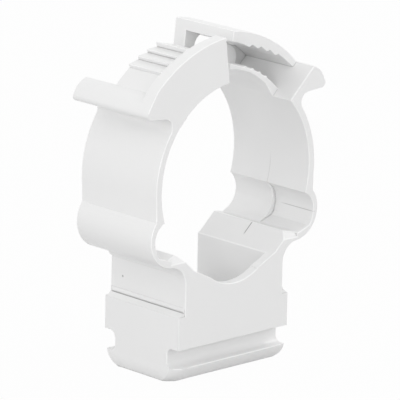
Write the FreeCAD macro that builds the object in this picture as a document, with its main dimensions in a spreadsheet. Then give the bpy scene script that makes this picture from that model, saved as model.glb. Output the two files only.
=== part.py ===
import FreeCAD, Part
import math
import os
import re
import Sketcher

# A one-piece snap pipe clip, moulded in plastic and shown open.
# X runs across the arms, Y along the pipe (the front is -Y), Z is up.
# The origin is the middle of the foot's underside.

# Driving dimensions, in millimetres and degrees
SIZES = {
    # the ring and its band
    "ring_radius": 18.0,
    "ring_height": 36.2,
    "band_wall": 1.35,
    "clip_depth": 20.0,
    # the S-shaped bulges between the waist and the ring
    "lip_angle": -17.1,
    "neck_reach": 19.2,
    "neck_height": 31.25,
    "neck_angle": -6.0,
    "bulge_outer": 5.5,
    "bulge_front_inner": 3.57,
    "bulge_back_inner": 4.0,
    "floor_start": 15.5,
    "floor_height": 23.65,
    "floor_end": 16.2,
    "floor_end_height": 24.1,
    "facet_top": 27.05,
    "facet_top_reach": 19.34,
    "facet_middle": 25.35,
    "facet_middle_reach": 18.95,
    "facet_base": 24.6,
    "facet_base_reach": 18.35,
    "root_radius": 3.7,
    "root_height": 18.65,
    # the pipe seat
    "ridge_reach": 13.35,
    "ridge_height": 24.15,
    "ridge_bevel": 1.6,
    "ridge_bevel_drop": 1.2,
    "seat_bend_reach": 9.9,
    "seat_bend_height": 20.95,
    "throat_step": 0.12,
    "throat_reach": 5.5,
    "throat_height": 18.7,
    "throat_radius": 10.0,
    # the waist, its side recesses and its cavity
    "flange_half": 11.95,
    "waist_half": 11.86,
    "recess_front": 9.15,
    "recess_base": 14.3,
    "recess_top": 20.15,
    "recess_round": 3.2,
    "front_wall": 1.95,
    "cavity_half": 9.3,
    "cavity_floor": 12.3,
    # the base block and its shoulders
    "block_half": 13.5,
    "block_top": 12.8,
    "block_front_round": 0.4,
    "block_back_round": 0.5,
    "shoulder_reach": 12.45,
    "shoulder_height": 13.5,
    "shoulder_groove": 0.3,
    # the foot and its rail grooves
    "groove_top": 6.65,
    "groove_depth": 3.0,
    "groove_round": 1.2,
    "groove_floor_round": 1.1,
    "lip_top": 2.95,
    "lip_setback": 0.7,
    "foot_inset": 3.2,
    "foot_swell": 0.5,
    "foot_end_round": 0.5,
    "foot_corner_round": 0.3,
    "foot_corner_long": 3.2,
    "foot_corner_short": 1.7,
    "foot_corner_bend": 2.9,
    # the lugs
    "lock_angle": 44.0,
    "lug_radius": 26.3,
    "left_lug_radius": 25.65,
    "lug_tip_angle": 35.2,
    "lug_ear_round": 4.2,
    "lug_under_reach": 20.55,
    "lug_under_height": 50.0,
    "lug_tip_round": 0.95,
    "lug_root_angle": 33.6,
    "lug_root_reach": 17.5,
    "lug_root_height": 49.7,
    "lug_root_fillet": 1.75,
    # the left lock: front cheek and toothed tongue
    "tip_angle": 97.0,
    "cheek_wall": 2.7,
    "cheek_root_radius": 26.9,
    "cheek_tip_radius": 26.45,
    "cheek_end_angle": 143.8,
    "cheek_end_radius": 26.3,
    "cheek_end_bend": 21.0,
    "tongue_width": 9.4,
    "tongue_radius": 25.76,
    "tongue_under": 21.8,
    "tongue_fall": 0.22,
    "tooth_angle": 127.3,
    "tooth_pitch": 5.3,
    "tooth_lean": 0.3,
    "tooth_height": 0.64,
    "last_tooth_height": 0.92,
    "nose_angle": 101.0,
    "nose_radius": 23.6,
    # the right lock: toothed channel and slotted back cheek
    "mouth_angle": 83.5,
    "strip_radius": 26.05,
    "strip_under": 24.77,
    "mouth_under": 24.05,
    "lead_angle": 77.4,
    "lead_radius": 23.76,
    "channel_front": 5.4,
    "back_cheek": 3.0,
    "catch_angle": 73.0,
    "catch_pitch": 5.57,
    "catch_run": 1.5,
    "catch_radius": 23.38,
    "catch_rise": 0.2,
    "catch_height": 0.54,
    "rail_radius": 19.72,
    "rail_mouth": 20.1,
    "notch_angle": 72.2,
    "notch_pitch": 5.57,
    "notch_run": 1.3,
    "notch_height": 0.3,
    "relief_start": 46.0,
    "relief_middle": 54.0,
    "relief_end": 68.0,
    "relief_middle_radius": 18.7,
    "relief_radius": 19.05,
    "slot_radius": 21.7,
    "slot_half": 2.25,
    "slot_start": 53.1,
    "slot_end": 70.7,
    # how far a cut runs past the material it opens
    "overrun": 2.0,
}
TEETH = 4

doc = FreeCAD.newDocument("PipeClip")
sheet = doc.addObject("Spreadsheet::Sheet", "Sizes")
for row, (alias, value) in enumerate(SIZES.items(), start=1):
    sheet.set(f"A{row}", alias)
    sheet.set(f"B{row}", str(value))
    sheet.setAlias(f"B{row}", alias)

doc.recompute()

body = doc.addObject("PartDesign::Body", "pipe_clip")
body.Label = "pipe_clip"


def bound(text):
    """Names the sheet in front of every size that a formula uses."""
    return re.sub(r"[a-z_]+", lambda found: f"Sizes.{found[0]}" if found[0] in SIZES else found[0], text)


def corner_sheet(name, points):
    """A sheet that works out one outline's corners and bends from the sizes."""
    corners = doc.addObject("Spreadsheet::Sheet", name + "_corners")
    for number, point in enumerate(points):
        for column, part, formula in zip("ABC", ("across", "up", "bend"), point):
            if formula is not None:
                corners.set(f"{column}{number + 1}", "=" + bound(formula))
                corners.setAlias(f"{column}{number + 1}", f"{part}_{number}_")
    corners.recompute()
    return corners


def polar(radius, angle):
    """A point about the ring's centre, as two formulas."""
    return f"({radius}) * cos({angle})", f"ring_height + ({radius}) * sin({angle})"


def mirrored(points):
    """The same outline on the other side, with each bend kept on its own stretch."""
    count = len(points)
    flipped = []
    for index in range(count - 1, -1, -1):
        across, up, _ = points[index]
        flipped.append((f"-({across})", up, points[index - 1][2]))
    return flipped


def both_sides(half):
    """A whole outline from its right half, listed from the bottom to the top."""
    other = mirrored(half)
    other[-1] = (other[-1][0], other[-1][1], None)
    return half + other


def arc_between(start, end, radius):
    """The short arc from start to end. A positive radius bows it to the right of the way it runs."""
    if radius < 0:
        start, end = end, start
    chord = end - start
    half = chord.Length / 2
    left = FreeCAD.Vector(-chord.y, chord.x, 0).normalize()
    centre = (start + end) / 2 + left * math.sqrt(radius * radius - half * half)
    angles = [math.atan2(point.y - centre.y, point.x - centre.x) for point in (start, end)]
    circle = Part.Circle(centre, FreeCAD.Vector(0, 0, 1), abs(radius))
    return Part.ArcOfCircle(circle, *angles)


def outline(name, points, plane, offset):
    """A closed sketch from corners (across, up, bend of the stretch that follows, or None)."""
    corners = corner_sheet(name, points)
    places = []
    for index in range(len(points)):
        across = float(corners.get(f"across_{index}_"))
        up = float(corners.get(f"up_{index}_"))
        places.append(FreeCAD.Vector(across, up, 0))

    sketch = body.newObject("Sketcher::SketchObject", name + "_outline")
    base_plane = [item for item in body.Origin.OriginFeatures if item.Role == plane]
    sketch.AttachmentSupport = [(base_plane[0], "")]
    sketch.MapMode = "FlatFace"
    sketch.setExpression("AttachmentOffset.Base.z", bound(offset))

    ends = []
    for index, (_, _, bend) in enumerate(points):
        start = places[index]
        end = places[(index + 1) % len(points)]
        radius = 0 if bend is None else float(corners.get(f"bend_{index}_"))
        if bend is None:
            sketch.addGeometry(Part.LineSegment(start, end))
        else:
            sketch.addGeometry(arc_between(start, end, radius))
        ends.append((2, 1) if radius < 0 else (1, 2))

    for index, (_, _, bend) in enumerate(points):
        after = (index + 1) % len(points)
        joint = Sketcher.Constraint("Coincident", index, ends[index][1], after, ends[after][0])
        sketch.addConstraint(joint)
        for kind, part, value in (("DistanceX", "across", places[index].x), ("DistanceY", "up", places[index].y)):
            number = sketch.addConstraint(Sketcher.Constraint(kind, -1, 1, index, ends[index][0], value))
            sketch.setExpression(f"Constraints[{number}]", f"{corners.Name}.{part}_{index}_")
        if bend is not None:
            radius = abs(float(corners.get(f"bend_{index}_")))
            number = sketch.addConstraint(Sketcher.Constraint("Radius", index, radius))
            sketch.setExpression(f"Constraints[{number}]", f"abs({corners.Name}.bend_{index}_)")
    return sketch


def feature(kind, name, points, plane, offset, length):
    """Pads or pockets an outline from its offset plane over a length."""
    item = body.newObject("PartDesign::" + kind, name)
    item.Profile = outline(name, points, plane, offset)
    item.setExpression("Length", bound(length))
    item.Reversed = kind == "Pocket"
    body.Tip = item
    doc.recompute()
    return item


def along_y(kind, name, points, back, front):
    """An outline seen from the front, run from one Y forward to another."""
    return feature(kind, name, points, "XZ_Plane", f"-({back})", f"({back}) - ({front})")


def along_x(kind, name, points, start, end):
    """An outline seen from the side, run from one X to another."""
    return feature(kind, name, points, "YZ_Plane", start, f"({end}) - ({start})")


def rounded(name, base, radius, wanted):
    """Rounds the edges of the body so far that the test picks out."""
    names = []
    for number, edge in enumerate(base.Shape.Edges, start=1):
        if wanted(edge):
            names.append(f"Edge{number}")
    fillet = body.newObject("PartDesign::Fillet", name)
    fillet.Base = (base, names)
    fillet.setExpression("Radius", bound(radius))
    body.Tip = fillet
    doc.recompute()
    return fillet


BACK = "clip_depth / 2"
FRONT = "-clip_depth / 2"
OUTSIDE = "clip_depth / 2 + overrun"

# The foot, lofted from its flat underside to its lip
def foot_plan(half_length, half_width):
    """The foot seen from above. Its front left corner has the longest round."""
    x, y, small = half_length, half_width, "foot_corner_round"
    return [
        (f"foot_corner_long - ({x})", f"-({y})", None),
        (f"{x} - {small}", f"-({y})", small),
        (x, f"{small} - ({y})", None),
        (x, f"{y} - {small}", small),
        (f"{x} - {small}", y, None),
        (f"{small} - ({x})", y, small),
        (f"-({x})", f"{y} - {small}", None),
        (f"-({x})", f"foot_corner_short - ({y})", "foot_corner_bend"),
    ]


foot_flat = "clip_depth / 2 - foot_inset"
lip_reach = "clip_depth / 2 - lip_setback"
foot_middle = f"({foot_flat} + {lip_reach}) / 2 + foot_swell"
foot_plans = {
    "foot_underside": ("block_half - foot_end_round", foot_flat, "0"),
    "foot_middle": ("block_half", foot_middle, "lip_top / 2"),
    "foot_lip": ("block_half", lip_reach, "lip_top"),
}
plans = []
for name, (half_length, half_width, height) in foot_plans.items():
    plans.append(outline(name, foot_plan(half_length, half_width), "XY_Plane", height))
foot = body.newObject("PartDesign::AdditiveLoft", "foot")
foot.Profile = plans[0]
foot.Sections = plans[1:]
body.Tip = foot
doc.recompute()


def upright(edge):
    """Whether an edge runs straight up and down."""
    first, last = edge.Vertexes[0].Point, edge.Vertexes[-1].Point
    return abs(first.x - last.x) < 1e-6 and abs(first.y - last.y) < 1e-6 and abs(first.z - last.z) > 1


# The neck between the rail grooves, and the block above it
groove_wall = "clip_depth / 2 - groove_depth"
neck_and_block = both_sides([
    (f"{groove_wall} - groove_floor_round", "lip_top - groove_floor_round", None),
    (f"{groove_wall} + groove_floor_round", "lip_top", "-groove_floor_round"),
    (groove_wall, "lip_top + groove_floor_round", None),
    (groove_wall, "groove_top - groove_round", "-groove_round"),
    (f"{groove_wall} + groove_round", "groove_top", None),
    (BACK, "groove_top", None),
    (BACK, "block_top", None),
])
along_x("Pad", "block", neck_and_block, "-block_half", "block_half")


def corner_edge(side, front):
    """A test for the upright edges of one corner of the block."""
    middle = 0.9 * SIZES["block_half"]
    reach = SIZES["clip_depth"] / 2 - 0.01
    return lambda edge: (
        upright(edge) and side * edge.Vertexes[0].X > middle and front * edge.Vertexes[0].Y > reach
    )


BLOCK_ROUNDS = {
    "block_front_left": (-1, -1, "block_front_round"),
    "block_front_right": (1, -1, "block_front_round"),
    "block_back_left": (-1, 1, "block_back_round"),
    "block_back_right": (1, 1, "block_back_round"),
}
for name, (side, front, radius) in BLOCK_ROUNDS.items():
    rounded(name, body.Tip, radius, corner_edge(side, front))

# Waist with the pipe seat on top
root_top = ("flange_half + root_radius", "root_height + root_radius")
waist_half_section = [
    ("flange_half", "groove_top", None),
    ("flange_half", "root_height", "-root_radius"),
    (*root_top, None),
    ("floor_start", "floor_height", None),
    ("ridge_reach", "ridge_height", None),
    ("seat_bend_reach", "seat_bend_height", None),
    ("throat_reach", "throat_height + throat_step", None),
    ("throat_reach", "throat_height", "-throat_radius"),
]
along_y("Pad", "waist", both_sides(waist_half_section), BACK, FRONT)

# Shoulders between block and waist, with a fine groove along each
shoulder_inside = "waist_half - shoulder_height + block_top"
shoulder = [
    (shoulder_inside, "block_top - shoulder_groove", None),
    ("block_half - shoulder_groove / 2", "block_top - shoulder_groove", None),
    ("block_half - shoulder_groove / 2", "block_top", None),
    ("shoulder_reach", "shoulder_height", None),
    ("shoulder_reach - shoulder_groove", "shoulder_height - shoulder_groove / 2", None),
    ("shoulder_reach - shoulder_groove / 2", "shoulder_height + shoulder_groove", None),
    ("waist_half", "recess_base", None),
    (shoulder_inside, "recess_base", None),
]
shoulder_back = "clip_depth / 2 - block_back_round"
shoulder_front = "-clip_depth / 2 + block_front_round / 2"
along_y("Pad", "shoulder_right", shoulder, shoulder_back, shoulder_front)
along_y("Pad", "shoulder_left", mirrored(shoulder), shoulder_back, shoulder_front)


# The arms: bulge, ring band and finger lug in one outline
def arm(crown):
    """The right arm. The crown is the radius of the lug's top, on the plane where the lock starts."""
    outer = "ring_radius + band_wall"
    return [
        (*root_top, "bulge_outer"),
        ("neck_reach", "neck_height", None),
        (*polar(outer, "neck_angle"), outer),
        (*polar(outer, "lug_root_angle"), "-lug_root_fillet"),
        ("lug_root_reach", "lug_root_height", None),
        ("lug_under_reach", "lug_under_height", "lug_tip_round"),
        (*polar("lug_radius", "lug_tip_angle"), "lug_ear_round"),
        (*polar(crown, "lock_angle"), None),
        (*polar("ring_radius", "lock_angle"), "-ring_radius"),
        (*polar("ring_radius", "lip_angle"), "-bulge_back_inner"),
        ("floor_end", "floor_end_height", None),
        ("floor_start", "floor_height", None),
        ("ridge_reach", "root_height + root_radius", None),
    ]


along_y("Pad", "arm_right", arm("strip_radius"), BACK, FRONT)
along_y("Pad", "arm_left", mirrored(arm("left_lug_radius")), BACK, FRONT)

# The front half of the bulges is wider inside and has flats, as the mould's insert ends at mid depth
facets = [
    (*polar("ring_radius", "lip_angle"), "-bulge_front_inner"),
    ("facet_top_reach", "facet_top", None),
    ("facet_middle_reach", "facet_middle", None),
    ("facet_base_reach", "facet_base", None),
    ("floor_start", "floor_height", None),
    ("floor_start", "facet_top", None),
]
along_y("Pocket", "facets_right", facets, "0", f"-({OUTSIDE})")
along_y("Pocket", "facets_left", mirrored(facets), "0", f"-({OUTSIDE})")

# The bevel that takes the seat's ridges down to the front face
bevel_start = f"{FRONT} + ridge_bevel"
bevel_slope = "ridge_bevel_drop / ridge_bevel"
bevel = [
    (f"{FRONT} - overrun", f"ridge_height - ridge_bevel_drop - overrun * {bevel_slope}", None),
    (bevel_start, "ridge_height", None),
    (bevel_start, "facet_top", None),
    (f"{FRONT} - overrun", "facet_top", None),
]
along_x("Pocket", "bevel_right", bevel, "seat_bend_reach", "floor_start")
along_x("Pocket", "bevel_left", bevel, "-floor_start", "-seat_bend_reach")

# Side recesses of the waist, behind its front flange
recess = [
    (f"-({OUTSIDE})", "recess_base", None),
    ("recess_front", "recess_base", None),
    ("recess_front", "recess_top - recess_round", "recess_round"),
    ("recess_front - recess_round", "recess_top", None),
    (f"-({OUTSIDE})", "recess_top", None),
]
beyond_block = "block_half + overrun"
along_x("Pocket", "recess_right", mirrored(recess), "waist_half", beyond_block)
along_x("Pocket", "recess_left", mirrored(recess), f"-({beyond_block})", "-waist_half")

# The cavity between the seat flats, open at the back and on top
cavity = [
    ("-cavity_half", "cavity_floor", None),
    ("cavity_half", "cavity_floor", None),
    ("cavity_half", "ridge_height", None),
    ("-cavity_half", "ridge_height", None),
]
along_y("Pocket", "cavity", cavity, OUTSIDE, "-clip_depth / 2 + front_wall")

# The right lock: strips and back cheek, then the toothed channel and the slot
lock_start = "lock_angle - 1"
right_lock = [
    (*polar("ring_radius", lock_start), "ring_radius"),
    (*polar("ring_radius", "relief_start"), "ring_radius"),
    (*polar("relief_middle_radius", "relief_middle"), "relief_middle_radius"),
    (*polar("relief_radius", "relief_end"), "relief_radius"),
    (*polar("relief_radius", "mouth_angle"), None),
    (*polar("strip_radius", "mouth_angle"), "-strip_radius"),
    (*polar("strip_radius", lock_start), None),
]
along_y("Pad", "right_lock", right_lock, BACK, "-channel_front")

channel = [(*polar("rail_radius", "lock_angle"), "rail_radius")]
for number in range(TEETH - 1, -1, -1):
    crest = f"notch_angle - {number} * notch_pitch"
    channel.append((*polar("rail_radius", f"{crest} - notch_run"), None))
    channel.append((*polar("rail_radius + notch_height", crest), None))
    channel.append((*polar("rail_radius", f"{crest} + notch_run"), "rail_radius"))
past_mouth = "mouth_angle + overrun"
channel[-1] = (*channel[-1][:2], None)
channel.append((*polar("rail_mouth", "mouth_angle"), None))
channel.append((*polar("rail_mouth", past_mouth), None))
channel.append((*polar("mouth_under", past_mouth), None))
channel.append((*polar("mouth_under", "mouth_angle"), "-strip_under"))
channel.append((*polar("lead_radius", "lead_angle"), None))
for number in range(TEETH):
    crest = f"catch_angle - {number} * catch_pitch"
    radius = f"catch_radius + {number} * catch_rise"
    channel.append((*polar(radius, crest), None))
    channel.append((*polar(f"{radius} + catch_height", f"{crest} - catch_run"), "-strip_under"))
channel.append((*polar("strip_under", "lock_angle"), None))
cheek_front = "clip_depth / 2 - back_cheek"
along_y("Pocket", "channel", channel, cheek_front, "-channel_front - overrun")

slot_turn = "atan(slot_half / slot_radius) / (1 deg)"
inside, outside = "slot_radius - slot_half", "slot_radius + slot_half"
slot = [
    (*polar(inside, "slot_start"), inside),
    (*polar(inside, "slot_end"), "-slot_half"),
    (*polar("slot_radius", f"slot_end + {slot_turn}"), "-slot_half"),
    (*polar(outside, "slot_end"), f"-({outside})"),
    (*polar(outside, "slot_start"), "-slot_half"),
    (*polar("slot_radius", f"slot_start - {slot_turn}"), "-slot_half"),
]
along_y("Pocket", "slot", slot, OUTSIDE, cheek_front)

# The left lock: front cheek, then the toothed tongue behind it
left_start = "180 - lock_angle"
cheek_back = "-clip_depth / 2 + cheek_wall"
cheek = [
    (*polar("ring_radius", f"{left_start} + 1"), "-ring_radius"),
    (*polar("ring_radius", "tip_angle"), None),
    (*polar("cheek_tip_radius", "tip_angle"), "cheek_root_radius"),
    (*polar("cheek_root_radius", left_start), "cheek_end_bend"),
    (*polar("cheek_end_radius", "cheek_end_angle"), None),
    (*polar("cheek_end_radius - band_wall", "cheek_end_angle"), None),
    (*polar("ring_radius + 2 * band_wall", f"{left_start} + 2"), None),
]
along_y("Pad", "cheek", cheek, cheek_back, FRONT)

tongue = [
    (*polar("tongue_under", f"{left_start} + 1"), "-tongue_under"),
    (*polar("tongue_under", "nose_angle"), None),
    (*polar("nose_radius", "nose_angle"), None),
]
for number in range(TEETH - 1, -1, -1):
    radius = f"tongue_radius - {number} * tongue_fall"
    x, z = polar(radius, f"tooth_angle - {number} * tooth_pitch")
    height = "last_tooth_height" if number == TEETH - 1 else "tooth_height"
    tongue.append((x, f"{z} + {height}", None))
    tongue.append((f"{x} + tooth_lean", z, None))
tongue[-1] = (*tongue[-1][:2], "tongue_radius")
tongue.append((*polar("left_lug_radius", left_start), None))
tongue.append((*polar("left_lug_radius - band_wall", f"{left_start} + 1"), None))
along_y("Pad", "tongue", tongue, f"{cheek_back} + tongue_width", f"{cheek_back} - cheek_wall / 2")

# Checks, then the export
doc.recompute()
faults = [item.Label for item in doc.Objects if "Invalid" in item.State or "Error" in item.State]
for item in doc.Objects:
    if item.isDerivedFrom("PartDesign::Feature") and (item.Shape.isNull() or not item.Shape.isValid()):
        faults.append(item.Label)
if body.Shape.isNull() or not body.Shape.isValid() or len(body.Shape.Solids) != 1:
    faults.append(body.Label)
if faults:
    raise RuntimeError(f"these did not build: {faults}")

os.makedirs("parts", exist_ok=True)
body.Shape.exportStep("parts/pipe_clip.step")
box = body.Shape.BoundBox
print(f"pipe_clip {box.XLength:.2f} x {box.YLength:.2f} x {box.ZLength:.2f}, {body.Shape.Volume:.0f} mm3")
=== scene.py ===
import math

import bmesh
import bpy
from mathutils import Matrix, Vector
from mathutils.bvhtree import BVHTree
from mathutils.geometry import intersect_point_line


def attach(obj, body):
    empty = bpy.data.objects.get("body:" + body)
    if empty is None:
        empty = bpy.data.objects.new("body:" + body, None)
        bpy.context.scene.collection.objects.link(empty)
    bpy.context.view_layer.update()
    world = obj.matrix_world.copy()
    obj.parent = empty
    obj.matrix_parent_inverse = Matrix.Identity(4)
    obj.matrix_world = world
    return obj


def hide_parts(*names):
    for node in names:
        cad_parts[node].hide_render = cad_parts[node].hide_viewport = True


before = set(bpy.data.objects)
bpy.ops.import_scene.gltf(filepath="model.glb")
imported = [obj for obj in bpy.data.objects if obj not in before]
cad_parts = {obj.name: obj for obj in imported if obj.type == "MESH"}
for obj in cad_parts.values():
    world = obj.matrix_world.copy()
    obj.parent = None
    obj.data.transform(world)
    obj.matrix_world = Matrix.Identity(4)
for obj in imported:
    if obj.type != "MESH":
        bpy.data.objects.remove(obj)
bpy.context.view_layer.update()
MM = 0.001


def mm(*values):
    """Lengths in millimetres, turned into metres."""
    return tuple(value * MM for value in values)


# Places on the clip
RING_HEIGHT = 36.2 * MM
RING_RADIUS = 18.0 * MM
BULGE_REACH = 15.8 * MM
BULGE_HEIGHT = 27.6 * MM
BULGE_RADIUS = 3.57 * MM
GATE_DEPTH = 6.9 * MM
GATE_HEIGHT = 16.7 * MM

# Camera, at the photograph's viewing angle
AZIMUTH = -43.039
ELEVATION = 14.595
ROLL = 1.040
DISTANCE = 759.81 * MM
TARGET = Vector((0.427 * MM, 0.0, 30.267 * MM))
IMAGE_SIZE = 400
FOCAL_PIXELS = 4210.18
SENSOR = 36.0
NEAREST_SEEN = 0.01
FARTHEST_SEEN = 20.0

# Lights: name, direction it comes from (azimuth, elevation), size, power
LIGHT_DISTANCE = 0.9
LIGHTS = (
    ("key_light", -60.0, 12.0, 0.2, 0.75),
    ("left_light", -95.0, 18.0, 0.2, 0.45),
    ("front_light", -12.0, 22.0, 0.2, 0.3),
    ("right_light", 69.0, 45.0, 0.15, 0.9),
)

# Sky and floor: the sky's strength low down and overhead, the floor's grey, and how white each is seen
SKY_HORIZON = 1.12
SKY_ZENITH = 0.72
SKY_WHITE = 1.0
FLOOR_GREY = 0.62
FLOOR_WHITE = 0.97
FLOOR_SIZE = 6.0
FLOOR_DROP = 0.02 * MM

# Plastic
PLASTIC_TINTS = ((0.85, 0.85, 0.85, 1.0), (0.87, 0.87, 0.868, 1.0))
# Painted highlight: faces on the rounded edges are lightened to this colour, standing in for the gloss that
# light leaves there
PAINTED_EDGE_HIGHLIGHT = (0.95, 0.95, 0.95, 1.0)
# Dark colour for the mould's lines, and for painted shade in tight corners and along the bulges' facet crease
MOULD_LINE_AND_PAINTED_SHADE_TINT = (0.10, 0.095, 0.09, 1.0)
ROUGHNESS = (0.26, 0.33)
REFRACTION = 1.49
FLOW_SCALE = 90.0
FLOW_DETAIL = 3.0

# Shade in tight corners: its reach, how open a corner is where it starts and is full, how dark it gets
CORNER_REACH = 0.4 * MM
CORNER_OPENING = (0.8, 0.35)
CORNER_SHADE = 0.36
CORNER_SAMPLES = 12

# Marks of the mould, and a painted shade line along the crease at the top of the bulges' facets: how strong
# each is, and the centre and half width of each band that it keeps to
MARK_SHADE = 0.75
MARK_DEPTH = 12.0
BUMP_STRENGTH = 0.1
BUMP_HEIGHT = 0.02 * MM
ON_RING = (RING_RADIUS, 0.15 * MM)
ON_BULGE = (BULGE_RADIUS, 0.3 * MM)
MARKS = {
    "ring_line": (0.25, {"ring": ON_RING, "y": mm(0.1, 0.05), "z": mm(31.0, 3.0)}),
    "bulge_line": (0.32, {"bulge": ON_BULGE, "y": mm(-0.15, 0.06), "z": mm(25.4, 1.2)}),
    "seat_line": (0.8, {"ring": ON_RING, "y": mm(-0.3, 0.08), "side": mm(12.3, 0.65), "z": mm(23.0, 1.5)}),
    # Painted shade line along the crease at the top of the bulges' front facets
    "facet_crease_shade": (0.5, {"bulge": ON_BULGE, "z": mm(27.05, 0.05), "y": mm(-6.0, 2.6)}),
    "gate_dot": (0.7, {"gate": mm(0.0, 0.14), "x": mm(-11.85, 0.2)}),
}

# Rounding of the outer edges
WELD = 0.001 * MM
FLAT_ANGLE = math.radians(0.02)
EDGE_ANGLE = math.radians(24.0)
EDGE_ROUND = 0.15 * MM
EDGE_SEGMENTS = 3
EDGE_SLOT = 1
FLAT_FRONT = 0.9999
SHADING_WEIGHT = 80

# Edges left sharp: at the bulges' step, on the shoulders, beside narrow faces, short ones at the lugs' tips
STEP_REACH = 0.05 * MM
STEP_TOP = 28.0 * MM
SHOULDER_SIDE = 10.5 * MM
SHOULDER_LOW = 12.4 * MM
SHOULDER_HIGH = 14.6 * MM
TIP_SIDE = 18.5 * MM
NARROWEST = 1.3 * EDGE_ROUND
SHORTEST = 1.3 * EDGE_ROUND

# Faces folded over by the rounding: below the cosine FOLDED to all the surface within FOLD_SEARCH, a face
# counts as folded. Edges within FOLD_REACH of its corners are then left sharp, in up to TRIES rounds.
FOLDED = -0.1
FOLD_SEARCH = 2.0 * EDGE_ROUND
FOLD_REACH = 1.6 * EDGE_ROUND
TRIES = 6


def direction(azimuth, elevation):
    """The unit vector from the object to a place seen at that azimuth and elevation."""
    turn, rise = math.radians(azimuth), math.radians(elevation)
    return Vector((math.sin(turn) * math.cos(rise), -math.cos(turn) * math.cos(rise), math.sin(rise)))


def camera():
    """The photograph's camera."""
    back = direction(AZIMUTH, ELEVATION)
    level = Vector((math.cos(math.radians(AZIMUTH)), math.sin(math.radians(AZIMUTH)), 0.0))
    upright = back.cross(level)
    roll = math.radians(ROLL)
    right = level * math.cos(roll) + upright * math.sin(roll)
    up = upright * math.cos(roll) - level * math.sin(roll)
    data = bpy.data.cameras.new("camera")
    data.sensor_width = SENSOR
    data.lens = FOCAL_PIXELS / IMAGE_SIZE * SENSOR
    data.clip_start = NEAREST_SEEN
    data.clip_end = FARTHEST_SEEN
    obj = bpy.data.objects.new("camera", data)
    turn = Matrix((right, up, back)).transposed().to_4x4()
    obj.matrix_world = Matrix.Translation(TARGET + back * DISTANCE) @ turn
    bpy.context.scene.collection.objects.link(obj)
    bpy.context.scene.camera = obj


def lamps():
    """Soft boxes round the object."""
    for name, azimuth, elevation, size, power in LIGHTS:
        data = bpy.data.lights.new(name, "AREA")
        data.shape = "DISK"
        data.size = size
        data.energy = power
        obj = bpy.data.objects.new(name, data)
        away = direction(azimuth, elevation)
        obj.location = Vector((0.0, 0.0, RING_HEIGHT)) + away * LIGHT_DISTANCE
        obj.rotation_euler = away.to_track_quat("Z", "Y").to_euler()
        bpy.context.scene.collection.objects.link(obj)


class Nodes:
    """Short ways to add and join shader nodes."""

    def __init__(self, tree):
        self.tree = tree
        self.tree.nodes.clear()

    def add(self, kind, **settings):
        node = self.tree.nodes.new(kind)
        for name, value in settings.items():
            setattr(node, name, value)
        return node

    def join(self, source, target):
        self.tree.links.new(source, target)

    def math(self, operation, first, second=0.0):
        node = self.add("ShaderNodeMath", operation=operation)
        for socket, value in zip(node.inputs, (first, second)):
            if isinstance(value, (int, float)):
                socket.default_value = value
            else:
                self.join(value, socket)
        return node.outputs[0]

    def mapped(self, value, start, end, kind="LINEAR"):
        """A value carried over from one pair of limits to another, and held between them."""
        ramp = self.add("ShaderNodeMapRange", interpolation_type=kind)
        self.join(value, ramp.inputs["Value"])
        ramp.inputs["From Min"].default_value, ramp.inputs["From Max"].default_value = start
        ramp.inputs["To Min"].default_value, ramp.inputs["To Max"].default_value = end
        return ramp.outputs["Result"]

    def blended(self, factor, first, second):
        """A colour, or another node's colour, shading into a second colour as the factor rises."""
        mix = self.add("ShaderNodeMix", data_type="RGBA")
        self.join(factor, mix.inputs["Factor"])
        if isinstance(first, tuple):
            mix.inputs["A"].default_value = first
        else:
            self.join(first, mix.inputs["A"])
        mix.inputs["B"].default_value = second
        return mix.outputs["Result"]

    def near(self, value, centre, half_width):
        """1 where a value is within a half width of the centre, falling to 0 at twice that."""
        off = self.math("ABSOLUTE", self.math("SUBTRACT", value, centre))
        return self.mapped(off, (half_width, 2.0 * half_width), (1.0, 0.0), "SMOOTHSTEP")

    def distance(self, across, up, centre):
        """How far a place lies from a centre, both given across and up."""
        across = self.math("SUBTRACT", across, centre[0])
        up = self.math("SUBTRACT", up, centre[1])
        squares = self.math("ADD", self.math("MULTIPLY", across, across), self.math("MULTIPLY", up, up))
        return self.math("SQRT", squares)


def white_when_seen(nodes, shader, share):
    """Mixes white light into a shader, for rays that show it to the camera or in a gloss."""
    rays = nodes.add("ShaderNodeLightPath")
    seen = nodes.math("MAXIMUM", rays.outputs["Is Camera Ray"], rays.outputs["Is Glossy Ray"])
    seen = nodes.math("MAXIMUM", seen, rays.outputs["Is Transmission Ray"])
    white = nodes.add("ShaderNodeEmission")
    white.inputs["Strength"].default_value = 1.0
    mix = nodes.add("ShaderNodeMixShader")
    nodes.join(nodes.math("MULTIPLY", seen, share), mix.inputs[0])
    nodes.join(shader, mix.inputs[1])
    nodes.join(white.outputs[0], mix.inputs[2])
    return mix.outputs[0]


def sky():
    """A soft sky, stronger at the horizon than overhead."""
    world = bpy.data.worlds.new("studio")
    world.use_nodes = True
    nodes = Nodes(world.node_tree)
    light = nodes.add("ShaderNodeBackground")
    light.inputs["Color"].default_value = (1.0, 1.0, 1.0, 1.0)
    split = nodes.add("ShaderNodeSeparateXYZ")
    nodes.join(nodes.add("ShaderNodeTexCoord").outputs["Generated"], split.inputs[0])
    strength = nodes.mapped(split.outputs["Z"], (0.0, 1.0), (SKY_HORIZON, SKY_ZENITH))
    nodes.join(strength, light.inputs["Strength"])
    seen = white_when_seen(nodes, light.outputs[0], SKY_WHITE)
    out = nodes.add("ShaderNodeOutputWorld")
    nodes.join(seen, out.inputs["Surface"])
    bpy.context.scene.world = world


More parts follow.
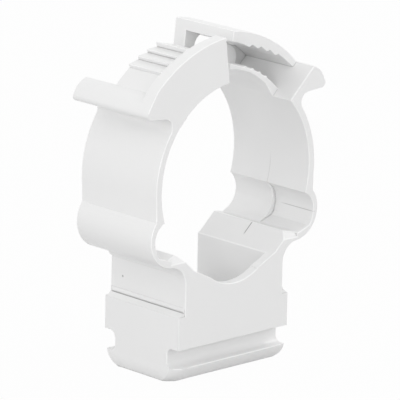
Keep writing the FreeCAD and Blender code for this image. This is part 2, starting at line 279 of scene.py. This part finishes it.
def floor():
    """A plain pale floor that keeps the object's shadow."""
    material = bpy.data.materials.new("floor")
    material.use_nodes = True
    nodes = Nodes(material.node_tree)
    paper = nodes.add("ShaderNodeBsdfDiffuse")
    paper.inputs["Color"].default_value = (FLOOR_GREY, FLOOR_GREY, FLOOR_GREY, 1.0)
    seen = white_when_seen(nodes, paper.outputs[0], FLOOR_WHITE)
    out = nodes.add("ShaderNodeOutputMaterial")
    nodes.join(seen, out.inputs["Surface"])
    bpy.ops.mesh.primitive_plane_add(size=FLOOR_SIZE, location=(0.0, 0.0, -FLOOR_DROP))
    plane = bpy.context.object
    plane.name = "floor"
    plane.data.materials.append(material)


def mould_marks_and_crease_shade(nodes, place):
    """Where the mould's halves meet inside the ring, the bulges and the seat, the gate's dot, and a painted
    shade line along the bulges' facet crease.
    """
    split = nodes.add("ShaderNodeSeparateXYZ")
    nodes.join(place, split.inputs[0])
    x, y, z = split.outputs
    side = nodes.math("ABSOLUTE", x)
    measures = {
        "x": x,
        "y": y,
        "z": z,
        "side": side,
        "ring": nodes.distance(x, z, (0.0, RING_HEIGHT)),
        "bulge": nodes.distance(side, z, (BULGE_REACH, BULGE_HEIGHT)),
        "gate": nodes.distance(y, z, (GATE_DEPTH, GATE_HEIGHT)),
    }
    marks = None
    for strength, bands in MARKS.values():
        mark = strength
        for measure, (centre, half_width) in bands.items():
            mark = nodes.math("MULTIPLY", nodes.near(measures[measure], centre, half_width), mark)
        marks = mark if marks is None else nodes.math("MAXIMUM", marks, mark)
    return marks


def tight_corners(nodes):
    """How dark the shade in a tight corner is."""
    corner = nodes.add("ShaderNodeAmbientOcclusion", samples=CORNER_SAMPLES)
    corner.inputs["Distance"].default_value = CORNER_REACH
    return nodes.mapped(corner.outputs["AO"], CORNER_OPENING, (0.0, CORNER_SHADE), "SMOOTHSTEP")


def clip_plastic():
    """White moulded plastic: satin, with faint flow and the mould's parting lines, a painted highlight on
    rounded edges, painted shade in tight corners and a painted shade line along the bulges' facet crease.
    """
    material = bpy.data.materials.new("clip_plastic")
    material.use_nodes = True
    nodes = Nodes(material.node_tree)
    place = nodes.add("ShaderNodeTexCoord").outputs["Object"]

    flow = nodes.add("ShaderNodeTexNoise")
    nodes.join(place, flow.inputs["Vector"])
    flow.inputs["Scale"].default_value = FLOW_SCALE
    flow.inputs["Detail"].default_value = FLOW_DETAIL
    gloss = nodes.mapped(flow.outputs["Fac"], (0.0, 1.0), ROUGHNESS)

    marks = mould_marks_and_crease_shade(nodes, place)
    bump = nodes.add("ShaderNodeBump")
    bump.inputs["Strength"].default_value = BUMP_STRENGTH
    bump.inputs["Distance"].default_value = BUMP_HEIGHT
    nodes.join(nodes.math("MULTIPLY", marks, -MARK_DEPTH), bump.inputs["Height"])

    # Painted highlight: the faces on rounded edges are lightened towards a paler colour
    edge = nodes.add("ShaderNodeAttribute", attribute_name="rounded_edge")
    # Painted shade: tight corners and the bulges' facet crease are darkened, together with the mould's lines
    shade = nodes.math("MAXIMUM", nodes.math("MULTIPLY", marks, MARK_SHADE), tight_corners(nodes))
    colour = nodes.blended(flow.outputs["Fac"], *PLASTIC_TINTS)
    colour = nodes.blended(edge.outputs["Fac"], colour, PAINTED_EDGE_HIGHLIGHT)
    colour = nodes.blended(shade, colour, MOULD_LINE_AND_PAINTED_SHADE_TINT)

    shader = nodes.add("ShaderNodeBsdfPrincipled")
    nodes.join(colour, shader.inputs["Base Color"])
    nodes.join(gloss, shader.inputs["Roughness"])
    nodes.join(bump.outputs["Normal"], shader.inputs["Normal"])
    shader.inputs["IOR"].default_value = REFRACTION
    out = nodes.add("ShaderNodeOutputMaterial")
    nodes.join(shader.outputs[0], out.inputs["Surface"])
    return material


def applied(obj, name):
    """A new object whose mesh is the given one with its modifiers applied."""
    graph = bpy.context.evaluated_depsgraph_get()
    mesh = bpy.data.meshes.new_from_object(obj.evaluated_get(graph))
    mesh.name = name
    result = bpy.data.objects.new(name, mesh)
    bpy.context.scene.collection.objects.link(result)
    return result


def both_ends(edge, is_there):
    """Whether both ends of an edge pass a test of their place."""
    return all(is_there(*end.co) for end in edge.verts)


def is_rounded(edge):
    """Whether an edge is a sharp outer one, and none of those left sharp."""
    if len(edge.link_faces) != 2 or not edge.is_convex or edge.calc_face_angle() <= EDGE_ANGLE:
        return False
    on_step = both_ends(edge, lambda x, y, z: abs(y) < STEP_REACH and z < STEP_TOP)
    on_shoulder = both_ends(edge, lambda x, y, z: abs(x) > SHOULDER_SIDE and SHOULDER_LOW < z < SHOULDER_HIGH)
    on_tip = both_ends(edge, lambda x, y, z: abs(x) > TIP_SIDE and z > STEP_TOP)
    length = edge.calc_length()
    is_short = on_tip and length < SHORTEST
    is_narrow = min(face.calc_area() / length for face in edge.link_faces) < NARROWEST
    return not (on_step or on_shoulder or is_short or is_narrow)


def welded(node):
    """The node's shape with its points joined and flat faces whole, its edges' rounding and its surface."""
    shape = bmesh.new()
    shape.from_mesh(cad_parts[node].data)
    bmesh.ops.remove_doubles(shape, verts=shape.verts, dist=WELD)
    surface = BVHTree.FromBMesh(shape)
    flat_edges = [edge for edge in shape.edges if edge.calc_face_angle(math.pi) < FLAT_ANGLE]
    bmesh.ops.dissolve_limit(shape, angle_limit=FLAT_ANGLE, verts=[], edges=flat_edges)
    rounding = shape.edges.layers.float.new("bevel_weight_edge")
    for edge in shape.edges:
        edge[rounding] = float(is_rounded(edge))
        edge.smooth = edge.calc_face_angle(0.0) < EDGE_ANGLE
    return shape, rounding, surface


def rounded(shape, name):
    """A new object with the shape's marked edges rounded, in a slot of their own."""
    mesh = bpy.data.meshes.new(name + "_work")
    shape.to_mesh(mesh)
    for face in mesh.polygons:
        face.use_smooth = abs(face.normal.y) < FLAT_FRONT
    for _ in range(EDGE_SLOT + 1):
        mesh.materials.append(None)
    work = bpy.data.objects.new(name + "_work", mesh)
    bpy.context.scene.collection.objects.link(work)
    bevel = work.modifiers.new("rounding", "BEVEL")
    bevel.limit_method = "WEIGHT"
    bevel.width = EDGE_ROUND
    bevel.segments = EDGE_SEGMENTS
    bevel.use_clamp_overlap = False
    bevel.miter_outer = "MITER_ARC"
    bevel.material = EDGE_SLOT
    shading = work.modifiers.new("shading", "WEIGHTED_NORMAL")
    shading.keep_sharp = True
    shading.weight = SHADING_WEIGHT
    piece = applied(work, name)
    bpy.data.objects.remove(work)
    return piece


def folded_corners(piece, surface):
    """The corners of the piece's triangles that look the other way from the surface beside them."""
    shape = bmesh.new()
    shape.from_mesh(piece.data)
    bmesh.ops.triangulate(shape, faces=shape.faces)
    corners = []
    for face in shape.faces:
        beside = surface.find_nearest_range(face.calc_center_median(), FOLD_SEARCH)
        if beside and max(hit[1].dot(face.normal) for hit in beside) < FOLDED:
            corners.extend(corner.co.copy() for corner in face.verts)
    shape.free()
    return corners


def passes_near(edge, corners):
    """Whether an edge passes near any of the corners."""
    start, end = (point.co for point in edge.verts)
    for corner in corners:
        share = intersect_point_line(corner, start, end)[1]
        nearest = start.lerp(end, min(1.0, max(0.0, share)))
        if (nearest - corner).length < FOLD_REACH:
            return True
    return False


def mark_rounded_edges(piece):
    """Keeps which faces lie on a rounded edge as an attribute, for the painted highlight there, and puts all
    faces in one slot.
    """
    faces = piece.data.polygons
    on_edge = [float(face.material_index == EDGE_SLOT) for face in faces]
    piece.data.attributes.new("rounded_edge", "FLOAT", "FACE").data.foreach_set("value", on_edge)
    faces.foreach_set("material_index", [0] * len(faces))


def softened(node, name):
    """The node's shape with its outer edges rounded a little, where that folds no face over."""
    shape, rounding, surface = welded(node)
    piece = rounded(shape, name)
    for _ in range(TRIES):
        corners = folded_corners(piece, surface)
        if not corners:
            break
        for edge in shape.edges:
            if passes_near(edge, corners):
                edge[rounding] = 0.0
        bpy.data.objects.remove(piece)
        piece = rounded(shape, name)
    shape.free()
    mark_rounded_edges(piece)
    return piece


clip = softened("pipe_clip", "clip")
clip.data.materials.clear()
clip.data.materials.append(clip_plastic())
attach(clip, "root")
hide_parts("pipe_clip")

sky()
floor()
lamps()
camera()

bpy.context.scene.view_settings.view_transform = "Standard"
